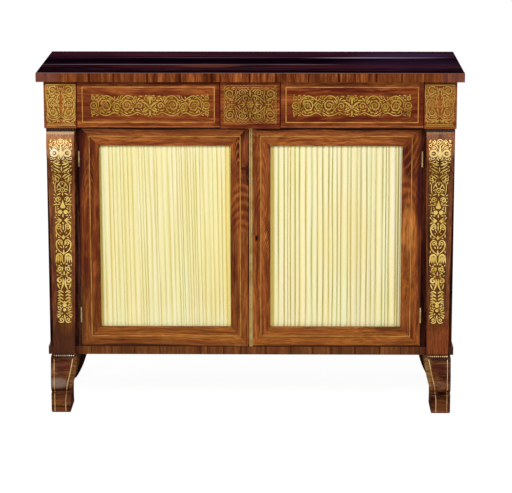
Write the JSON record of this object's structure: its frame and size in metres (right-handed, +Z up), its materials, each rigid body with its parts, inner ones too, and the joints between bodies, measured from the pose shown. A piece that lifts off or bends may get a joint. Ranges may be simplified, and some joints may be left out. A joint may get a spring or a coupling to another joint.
{
  "type": "chiffonier",
  "caption": "Regency style rosewood chiffonier with brass inlay: drawers in the frieze over silk-panelled doors, between scroll consoles, on scroll feet.",
  "frame": {"origin": "on the floor under the middle of the piece", "axes": "+X to the right as one faces the doors, +Y to the back, +Z up"},
  "size_m": [1.12, 0.42, 0.932],
  "materials": {
    "rosewood_veneer": "french polished, orange-brown with near-black figure",
    "dark_rosewood": "french polished, near-black brown",
    "carcass_pine": "bare, stained and aged",
    "drawer_oak": "bare, planed and waxed",
    "brass_inlay": "inlaid flush, aged and lightly polished",
    "brass_fittings": "cast and filed, aged",
    "steel_fittings": "filed, darkened with age",
    "silk": "gathered gold silk with a soft sheen"
  },
  "bodies": {
    "carcass": {"top_board": "dark_rosewood", "left_side_panel": "dark_rosewood", "right_side_panel": "dark_rosewood", "carcass_floor": "carcass_pine", "base_rails": "rosewood_veneer", "dust_board": "carcass_pine", "back_boards": "carcass_pine", "left_front_stile": "dark_rosewood", "right_front_stile": "dark_rosewood", "frieze_tablet": "rosewood_veneer", "left_frieze_block": "rosewood_veneer", "right_frieze_block": "rosewood_veneer", "top_rails": "carcass_pine", "drawer_partitions": "carcass_pine", "drawer_guides": "carcass_pine", "shelf": "carcass_pine", "shelf_bearers": "carcass_pine", "door_stops": "carcass_pine", "left_console": "dark_rosewood", "right_console": "dark_rosewood", "bead_mouldings": "dark_rosewood", "front_left_foot": "dark_rosewood", "front_right_foot": "dark_rosewood", "rear_feet": "carcass_pine", "glue_blocks": "carcass_pine", "hinge_frame_leaves": "brass_fittings", "hinge_pins": "brass_fittings", "bolt_strike": "steel_fittings"},
    "left_door": {"left_door_hinge_stile": "rosewood_veneer", "left_door_meeting_stile": "rosewood_veneer", "left_door_rails": "rosewood_veneer", "left_door_stringing": "brass_inlay", "left_door_silk_frame": "carcass_pine", "left_door_silk": "silk", "left_door_hinge_leaves": "brass_fittings", "lock_keeper": "brass_fittings", "door_bolt_case": "brass_fittings"},
    "right_door": {"right_door_hinge_stile": "rosewood_veneer", "right_door_meeting_stile": "rosewood_veneer", "right_door_rails": "rosewood_veneer", "right_door_stringing": "brass_inlay", "right_door_silk_frame": "carcass_pine", "right_door_silk": "silk", "right_door_hinge_leaves": "brass_fittings", "meeting_astragal": "brass_inlay", "lock_case": "steel_fittings", "keyhole_escutcheon": "brass_inlay"},
    "left_drawer": {"left_drawer_front": "rosewood_veneer", "left_drawer_sides": "drawer_oak", "left_drawer_back": "drawer_oak", "left_drawer_bottom": "drawer_oak", "left_drawer_stringing": "brass_inlay"},
    "right_drawer": {"right_drawer_front": "rosewood_veneer", "right_drawer_sides": "drawer_oak", "right_drawer_back": "drawer_oak", "right_drawer_bottom": "drawer_oak", "right_drawer_stringing": "brass_inlay"},
    "lock_slide": {"lock_bolt": "steel_fittings"},
    "bolt_slide": {"door_bolt_rod": "brass_fittings"}
  },
  "joints": [
    {"name": "left_door_hinge", "type": "hinge", "parent": "carcass", "child": "left_door", "pos_m": [-0.4565, -0.1482, 0.4795], "axis": [0, 0, -1], "range_deg": [0, 100]},
    {"name": "right_door_hinge", "type": "hinge", "parent": "carcass", "child": "right_door", "pos_m": [0.4565, -0.1482, 0.4795], "axis": [0, 0, 1], "range_deg": [0, 100]},
    {"name": "left_drawer_slide", "type": "slide", "parent": "carcass", "child": "left_drawer", "axis": [0, -1, 0], "range_m": [0, 0.24]},
    {"name": "right_drawer_slide", "type": "slide", "parent": "carcass", "child": "right_drawer", "axis": [0, -1, 0], "range_m": [0, 0.24]},
    {"name": "lock_bolt_throw", "type": "slide", "parent": "right_door", "child": "lock_slide", "axis": [-1, 0, 0], "range_m": [0, 0.01]},
    {"name": "door_bolt_throw", "type": "slide", "parent": "left_door", "child": "bolt_slide", "axis": [0, 0, 1], "range_m": [0, 0.01]}
  ]
}
